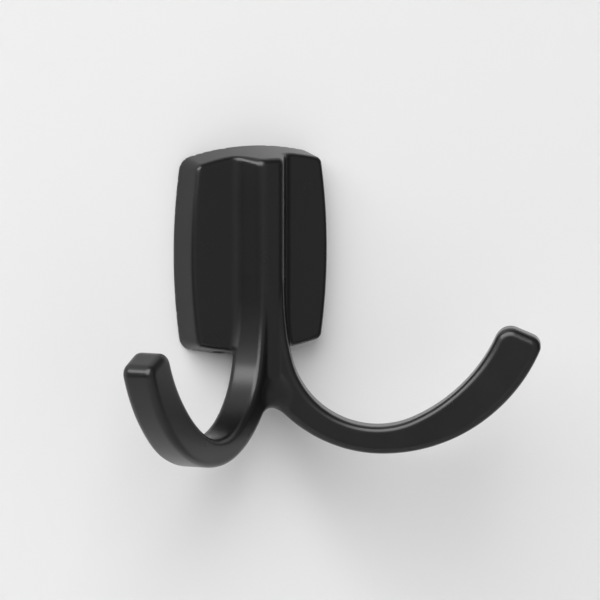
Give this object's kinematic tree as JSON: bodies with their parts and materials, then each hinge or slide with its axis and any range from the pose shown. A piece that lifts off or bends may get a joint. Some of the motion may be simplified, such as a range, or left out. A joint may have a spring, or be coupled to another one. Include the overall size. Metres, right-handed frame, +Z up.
{
  "type": "multi-prong towel hook",
  "caption": "Satin black wall hook: curved prongs fork from a post on a pillow-shaped plate and turn up to hold towels; a concealed dovetail bracket holds it to the wall.",
  "frame": {"origin": "centre of the plate's back, on the wall plane, midway between the bracket's two screw holes", "axes": "+Y into the wall, +Z up, +X to the right as seen from the room; the prongs stand out towards -Y"},
  "size_m": [0.1158, 0.046, 0.0731],
  "materials": {
    "black_finish": "satin",
    "plated_steel": "zinc plated",
    "screw_steel": "black oxide"
  },
  "bodies": {
    "root": {"hook_casting": "black_finish", "wall_bracket": "plated_steel", "set_screw_left": "screw_steel", "set_screw_right": "screw_steel"}
  },
  "joints": []
}
